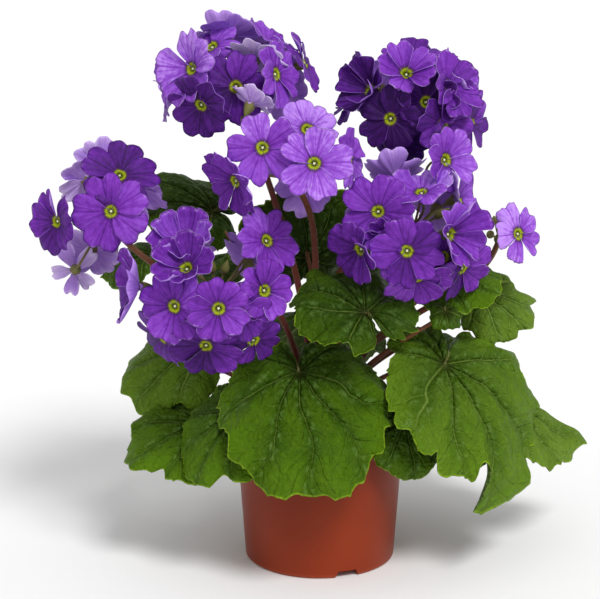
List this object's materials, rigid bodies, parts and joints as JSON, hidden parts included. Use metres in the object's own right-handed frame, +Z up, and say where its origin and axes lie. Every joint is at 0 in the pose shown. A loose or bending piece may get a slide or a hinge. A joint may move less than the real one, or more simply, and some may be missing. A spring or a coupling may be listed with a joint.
{
  "type": "potted german primrose",
  "caption": "Flowering german primrose with round wavy-edged leaves and rounded heads of notched five-petalled violet flowers, in a plain tapered plastic pot.",
  "frame": {"origin": "middle of the pot's flat underside, on the surface that the pot stands on", "axes": "+Z up along the pot's axis, -Y towards the front that the picture shows, +X to the right seen from the front"},
  "size_m": [0.375, 0.2439, 0.3838],
  "materials": {
    "pot": "satin",
    "soil": "matte",
    "stalk": "matte",
    "leaf": "satin",
    "petal": "matte"
  },
  "bodies": {
    "root": {"crown": "stalk", "head_a_petals_1": "petal", "head_a_stalk": "stalk", "head_b_petals_1": "petal", "head_b_petals_2": "petal", "head_b_petals_3": "petal", "head_b_petals_4": "petal", "head_b_petals_5": "petal", "head_b_petals_6": "petal", "head_b_stalk": "stalk", "head_c_petals_1": "petal", "head_c_petals_2": "petal", "head_c_petals_3": "petal", "head_c_petals_4": "petal", "head_c_petals_5": "petal", "head_c_stalk": "stalk", "head_d_petals_1": "petal", "head_d_petals_2": "petal", "head_d_petals_3": "petal", "head_d_petals_4": "petal", "head_d_petals_5": "petal", "head_d_stalk": "stalk", "head_e_petals_1": "petal", "head_e_stalk": "stalk", "head_f_petals_1": "petal", "head_f_petals_2": "petal", "head_f_petals_3": "petal", "head_f_petals_4": "petal", "head_f_petals_5": "petal", "head_f_stalk": "stalk", "head_g_petals_1": "petal", "head_g_petals_2": "petal", "head_g_petals_3": "petal", "head_g_petals_4": "petal", "head_g_petals_5": "petal", "head_g_stalk": "stalk", "leaf_01": "leaf", "leaf_02": "leaf", "leaf_03": "leaf", "leaf_04": "leaf", "leaf_05": "leaf", "leaf_06": "leaf", "leaf_07": "leaf", "leaf_08": "leaf", "leaf_09": "leaf", "leaf_10": "leaf", "leaf_11": "leaf", "leaf_12": "leaf", "leaf_13": "leaf", "leaf_14": "leaf", "leaf_15": "leaf", "leaf_16": "leaf", "leaf_17": "leaf", "leaf_18": "leaf", "leaf_19": "leaf", "leaf_20": "leaf", "pot": "pot", "potting_soil": "soil"}
  },
  "joints": []
}
